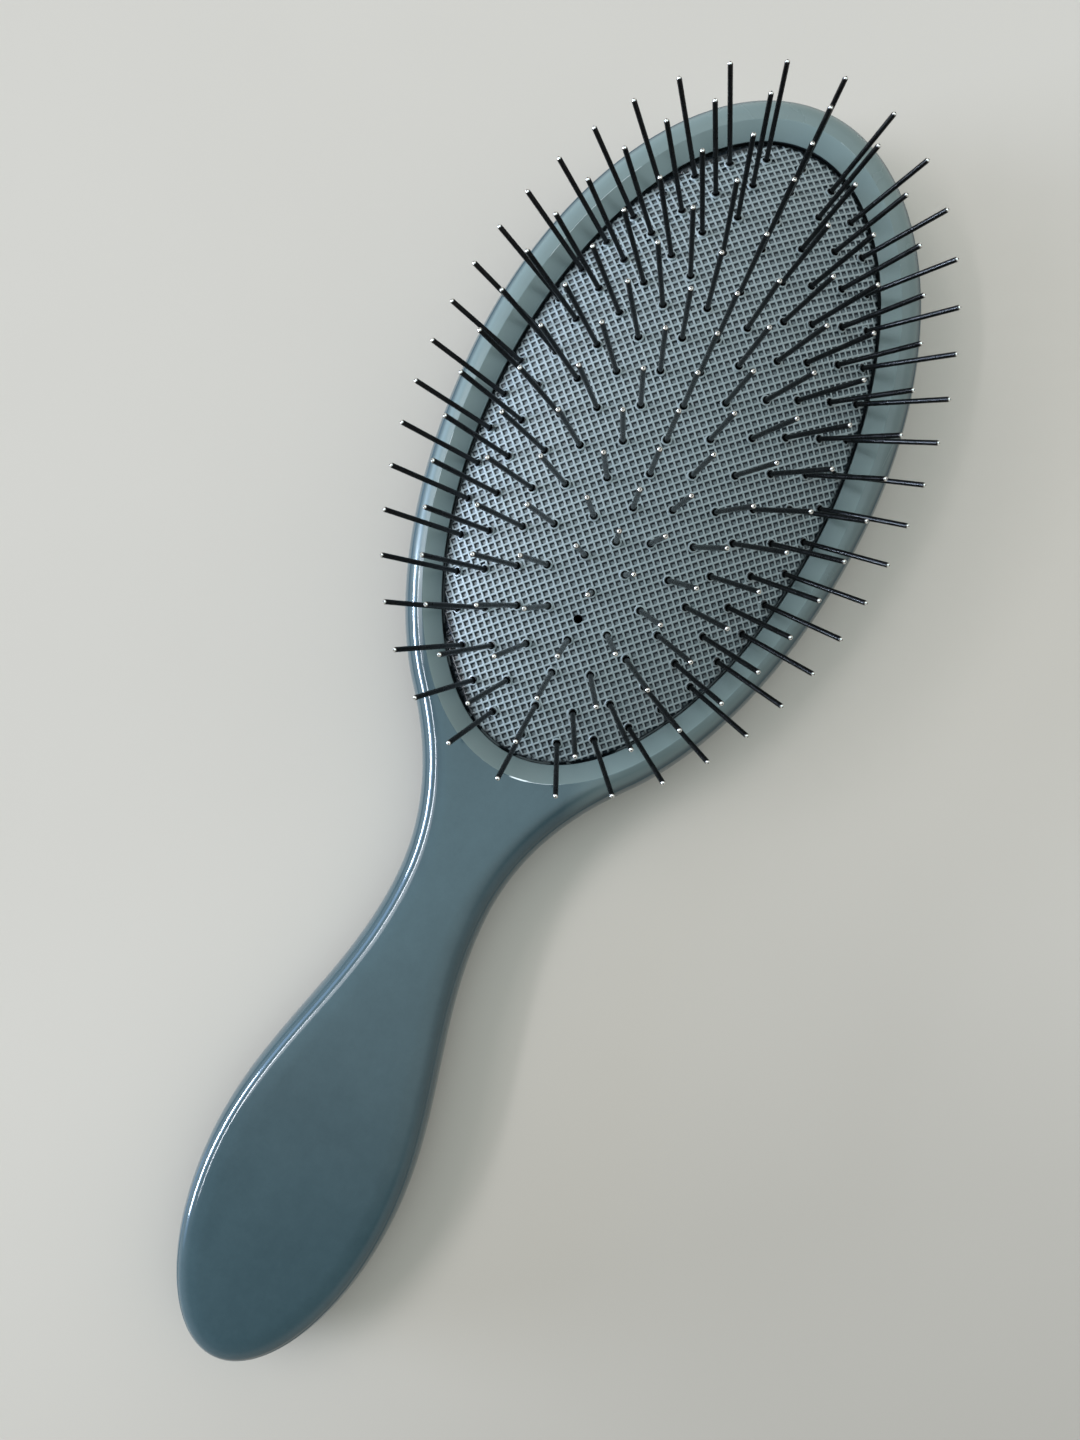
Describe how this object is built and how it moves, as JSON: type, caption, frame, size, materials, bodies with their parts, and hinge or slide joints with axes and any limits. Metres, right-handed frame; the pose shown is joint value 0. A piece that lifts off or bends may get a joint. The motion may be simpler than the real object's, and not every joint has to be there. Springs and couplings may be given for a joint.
{
  "type": "detangling brush",
  "caption": "Oval cushion brush: wire pins stand in rings from a vented, domed rubber cushion held in a two-shell moulded head and handle.",
  "frame": {"origin": "middle of the brush's box on the flat back that it lies on", "axes": "+X towards the tip of the head, +Y to the left of the head seen from the pins' side, +Z out of the pins' side"},
  "size_m": [0.235, 0.08, 0.0389],
  "materials": {
    "shell_plastic": "glossy moulded",
    "cushion_rubber": "satin, waffle moulded",
    "sheet_rubber": "matte",
    "pin_steel": "dark polished wire"
  },
  "bodies": {
    "brush_body": {"back_shell": "shell_plastic", "front_shell": "shell_plastic", "cushion": "cushion_rubber", "backing_sheet": "sheet_rubber"},
    "centre_row": {"centre_pins": "pin_steel"},
    "inner_ring": {"inner_pins_1": "pin_steel", "inner_pins_2": "pin_steel", "inner_pins_3": "pin_steel", "inner_pins_4": "pin_steel", "inner_pins_5": "pin_steel", "inner_pins_6": "pin_steel"},
    "fourth_ring": {"fourth_pins_1": "pin_steel", "fourth_pins_2": "pin_steel", "fourth_pins_3": "pin_steel", "fourth_pins_4": "pin_steel", "fourth_pins_5": "pin_steel", "fourth_pins_6": "pin_steel"},
    "third_ring": {"third_pins_1": "pin_steel", "third_pins_2": "pin_steel", "third_pins_3": "pin_steel", "third_pins_4": "pin_steel", "third_pins_5": "pin_steel", "third_pins_6": "pin_steel"},
    "second_ring": {"second_pins_1": "pin_steel", "second_pins_2": "pin_steel", "second_pins_3": "pin_steel", "second_pins_4": "pin_steel", "second_pins_5": "pin_steel", "second_pins_6": "pin_steel"},
    "outer_ring": {"outer_pins_1": "pin_steel", "outer_pins_2": "pin_steel", "outer_pins_3": "pin_steel", "outer_pins_4": "pin_steel", "outer_pins_5": "pin_steel", "outer_pins_6": "pin_steel"}
  },
  "joints": [
    {"name": "cushion_press", "type": "slide", "parent": "brush_body", "child": "centre_row", "axis": [0, 0, -1], "range_m": [0, 0.004], "stiffness_N_per_m": 800, "deforming": ["cushion", "backing_sheet"]},
    {"name": "inner_ring_press", "type": "slide", "parent": "brush_body", "child": "inner_ring", "axis": [0, 0, -1], "range_m": [0, 0.0036]},
    {"name": "fourth_ring_press", "type": "slide", "parent": "brush_body", "child": "fourth_ring", "axis": [0, 0, -1], "range_m": [0, 0.00304]},
    {"name": "third_ring_press", "type": "slide", "parent": "brush_body", "child": "third_ring", "axis": [0, 0, -1], "range_m": [0, 0.0024]},
    {"name": "second_ring_press", "type": "slide", "parent": "brush_body", "child": "second_ring", "axis": [0, 0, -1], "range_m": [0, 0.00152]},
    {"name": "outer_ring_press", "type": "slide", "parent": "brush_body", "child": "outer_ring", "axis": [0, 0, -1], "range_m": [0, 0.00052]}
  ],
  "couplings": [
    {"joint": "inner_ring_press", "follows": "cushion_press", "ratio": 0.9},
    {"joint": "fourth_ring_press", "follows": "cushion_press", "ratio": 0.76},
    {"joint": "third_ring_press", "follows": "cushion_press", "ratio": 0.6},
    {"joint": "second_ring_press", "follows": "cushion_press", "ratio": 0.38},
    {"joint": "outer_ring_press", "follows": "cushion_press", "ratio": 0.13}
  ]
}
